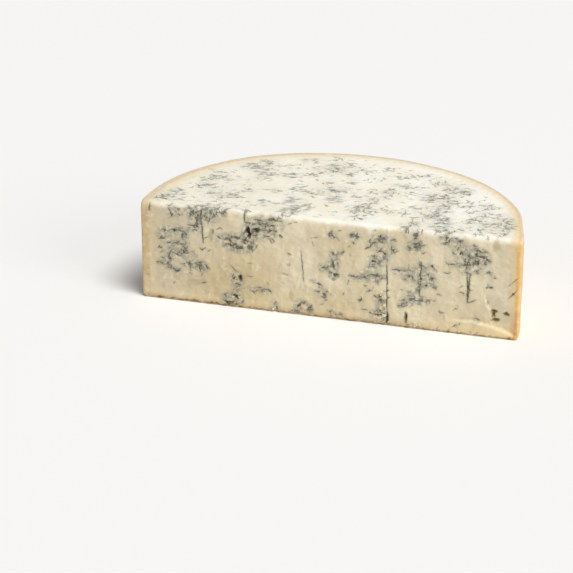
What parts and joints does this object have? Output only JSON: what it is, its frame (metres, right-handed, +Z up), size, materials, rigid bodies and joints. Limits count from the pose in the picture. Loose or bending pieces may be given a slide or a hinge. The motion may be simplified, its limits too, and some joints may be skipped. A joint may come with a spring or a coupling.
{
  "type": "half wheel of soft blue cheese",
  "caption": "Half wheel of soft, creamy blue cheese with a level cut top, an upright cut front, a round rind back and a flat rind underside.",
  "frame": {"origin": "under the middle of the bounding box, on the plane of the flat underside", "axes": "+X along the straight cut front, to the right as seen from the front; -Y is the side of the upright cut front; +Z up, through the level cut top"},
  "size_m": [0.3031, 0.1521, 0.082],
  "materials": {
    "cheese": "moist cream-coloured cheese paste with blue-grey mould marbling, and a thin beige to yellow rind on the back and the underside"
  },
  "bodies": {
    "root": {"cheese_half_wheel": "cheese"}
  },
  "joints": []
}
